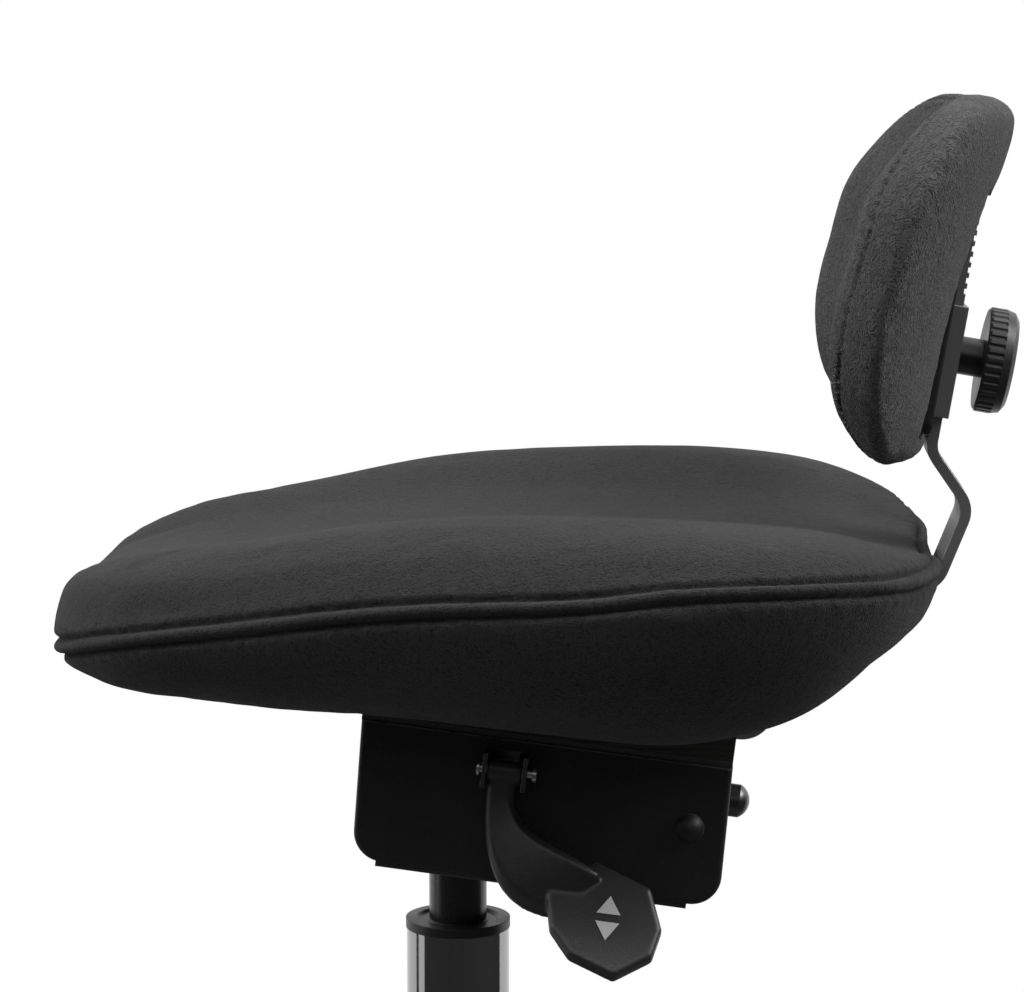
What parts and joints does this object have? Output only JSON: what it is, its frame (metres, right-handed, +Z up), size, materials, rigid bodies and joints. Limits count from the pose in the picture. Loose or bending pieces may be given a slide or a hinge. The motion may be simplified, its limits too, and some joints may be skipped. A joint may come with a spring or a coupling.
{
  "type": "ergonomic swivel stool",
  "caption": "Upholstered saddle-edged stool seat with a small lumbar rest on a flat bar, tilting and height-adjustable on a gas column over a star base with castors.",
  "frame": {"origin": "point on the floor under the lift column's axis, in millimetres of the drawing scaled to metres", "axes": "+Z up along the lift column; -X towards the seat's front edge, +X towards the lumbar rest; +Y completes the right-handed frame, the height lever is on the -Y side"},
  "size_m": [0.6446, 0.6778, 0.7032],
  "materials": {
    "seat_fabric": "woven wool-like cloth, black with light flecks",
    "rest_fabric": "woven wool-like cloth, charcoal with light flecks",
    "housing_black": "matt black powder coat",
    "black_steel": "satin black paint",
    "bar_black": "satin black paint, chipped bright at the edges",
    "cast_block": "cast, grey-black",
    "zinc_steel": "bright zinc plate",
    "rod_steel": "ground bright steel",
    "bearing_bronze": "sintered bronze",
    "plywood": "pressed plywood, stained black",
    "moulded_black": "matt moulded black",
    "lever_grey": "satin dark grey moulding",
    "knob_black": "glossy black with a ribbed rim",
    "collar_black": "matt black moulding, lighter grey ring",
    "lift_black": "smooth semi-gloss black",
    "column_chrome": "polished chrome plate",
    "wheel_black": "matt black nylon tread",
    "black_rubber": "matt black rubber"
  },
  "bodies": {
    "base": {"base_star": "moulded_black", "column_tube": "column_chrome", "guide_bush": "collar_black", "lower_race": "zinc_steel", "bearing_balls": "rod_steel"},
    "rod": {"piston_rod": "rod_steel", "upper_race": "zinc_steel", "buffer_ring": "black_rubber", "retaining_clip": "zinc_steel"},
    "column": {"gas_cylinder": "lift_black", "tilt_block": "cast_block", "tilt_pins": "zinc_steel"},
    "valve": {"valve_pin": "zinc_steel"},
    "seat": {"housing_shell": "housing_black", "floor_plate": "black_steel", "near_cheek": "black_steel", "far_cheek": "black_steel", "stop_bars": "zinc_steel", "stop_sleeves": "black_rubber", "tilt_bearings": "bearing_bronze", "tie_bolt": "housing_black", "tension_screw": "zinc_steel", "seat_plate": "black_steel", "seat_bolts": "zinc_steel", "seat_board": "plywood", "back_bar": "bar_black", "seat_cushion": "seat_fabric", "lever_ears": "black_steel", "lever_pin": "zinc_steel"},
    "lever": {"height_lever": "lever_grey"},
    "backrest": {"slide_bracket": "bar_black", "rest_board": "moulded_black", "rest_pad": "rest_fabric"},
    "knob": {"clamp_knob": "knob_black", "clamp_screw": "zinc_steel"},
    "castor_1": {"castor_fork_1": "moulded_black", "castor_axle_1": "zinc_steel"},
    "wheels_1": {"castor_wheels_1": "wheel_black"},
    "castor_2": {"castor_fork_2": "moulded_black", "castor_axle_2": "zinc_steel"},
    "wheels_2": {"castor_wheels_2": "wheel_black"},
    "castor_3": {"castor_fork_3": "moulded_black", "castor_axle_3": "zinc_steel"},
    "wheels_3": {"castor_wheels_3": "wheel_black"},
    "castor_4": {"castor_fork_4": "moulded_black", "castor_axle_4": "zinc_steel"},
    "wheels_4": {"castor_wheels_4": "wheel_black"},
    "castor_5": {"castor_fork_5": "moulded_black", "castor_axle_5": "zinc_steel"},
    "wheels_5": {"castor_wheels_5": "wheel_black"}
  },
  "joints": [
    {"name": "seat_swivel", "type": "hinge", "parent": "base", "child": "rod", "pos_m": [0, 0, 0.0725], "axis": [0, 0, 1], "continuous": true},
    {"name": "height_travel", "type": "slide", "parent": "rod", "child": "column", "axis": [0, 0, 1], "range_m": [0, 0.13]},
    {"name": "seat_tilt", "type": "hinge", "parent": "column", "child": "seat", "pos_m": [0.01346, 0, 0.35991], "axis": [0, -1, 0], "range_deg": [0, 11.7]},
    {"name": "lever_lift", "type": "hinge", "parent": "seat", "child": "lever", "pos_m": [0.02889, -0.083, 0.39529], "axis": [-0.9925, 0, 0.1219], "range_deg": [0, 4], "stiffness_Nm_per_rad": 4},
    {"name": "valve_press", "type": "slide", "parent": "column", "child": "valve", "axis": [0, 0, -1], "range_m": [0, 0.005]},
    {"name": "backrest_height", "type": "slide", "parent": "seat", "child": "backrest", "axis": [0.165, 0, 0.9863], "range_m": [-0.012, 0.024]},
    {"name": "knob_turn", "type": "hinge", "parent": "backrest", "child": "knob", "pos_m": [0.25125, 0, 0.57807], "axis": [0.9863, 0, -0.165], "continuous": true},
    {"name": "castor_swivel_1", "type": "hinge", "parent": "base", "child": "castor_1", "pos_m": [0.3, 0, 0.061], "axis": [0, 0, 1], "continuous": true},
    {"name": "wheel_roll_1", "type": "hinge", "parent": "castor_1", "child": "wheels_1", "pos_m": [0.32, 0, 0.025], "axis": [0, 1, 0], "continuous": true},
    {"name": "castor_swivel_2", "type": "hinge", "parent": "base", "child": "castor_2", "pos_m": [0.0927, 0.28532, 0.061], "axis": [0, 0, 1], "continuous": true},
    {"name": "wheel_roll_2", "type": "hinge", "parent": "castor_2", "child": "wheels_2", "pos_m": [0.09889, 0.30434, 0.025], "axis": [-0.9511, 0.309, 0], "continuous": true},
    {"name": "castor_swivel_3", "type": "hinge", "parent": "base", "child": "castor_3", "pos_m": [-0.24271, 0.17634, 0.061], "axis": [0, 0, 1], "continuous": true},
    {"name": "wheel_roll_3", "type": "hinge", "parent": "castor_3", "child": "wheels_3", "pos_m": [-0.25888, 0.18809, 0.025], "axis": [-0.5878, -0.809, 0], "continuous": true},
    {"name": "castor_swivel_4", "type": "hinge", "parent": "base", "child": "castor_4", "pos_m": [-0.24271, -0.17634, 0.061], "axis": [0, 0, 1], "continuous": true},
    {"name": "wheel_roll_4", "type": "hinge", "parent": "castor_4", "child": "wheels_4", "pos_m": [-0.25888, -0.18809, 0.025], "axis": [0.5878, -0.809, 0], "continuous": true},
    {"name": "castor_swivel_5", "type": "hinge", "parent": "base", "child": "castor_5", "pos_m": [0.0927, -0.28532, 0.061], "axis": [0, 0, 1], "continuous": true},
    {"name": "wheel_roll_5", "type": "hinge", "parent": "castor_5", "child": "wheels_5", "pos_m": [0.09889, -0.30434, 0.025], "axis": [0.9511, 0.309, 0], "continuous": true}
  ],
  "couplings": [
    {"joint": "valve_press", "follows": "lever_lift", "m_per_rad": 0.0716}
  ]
}
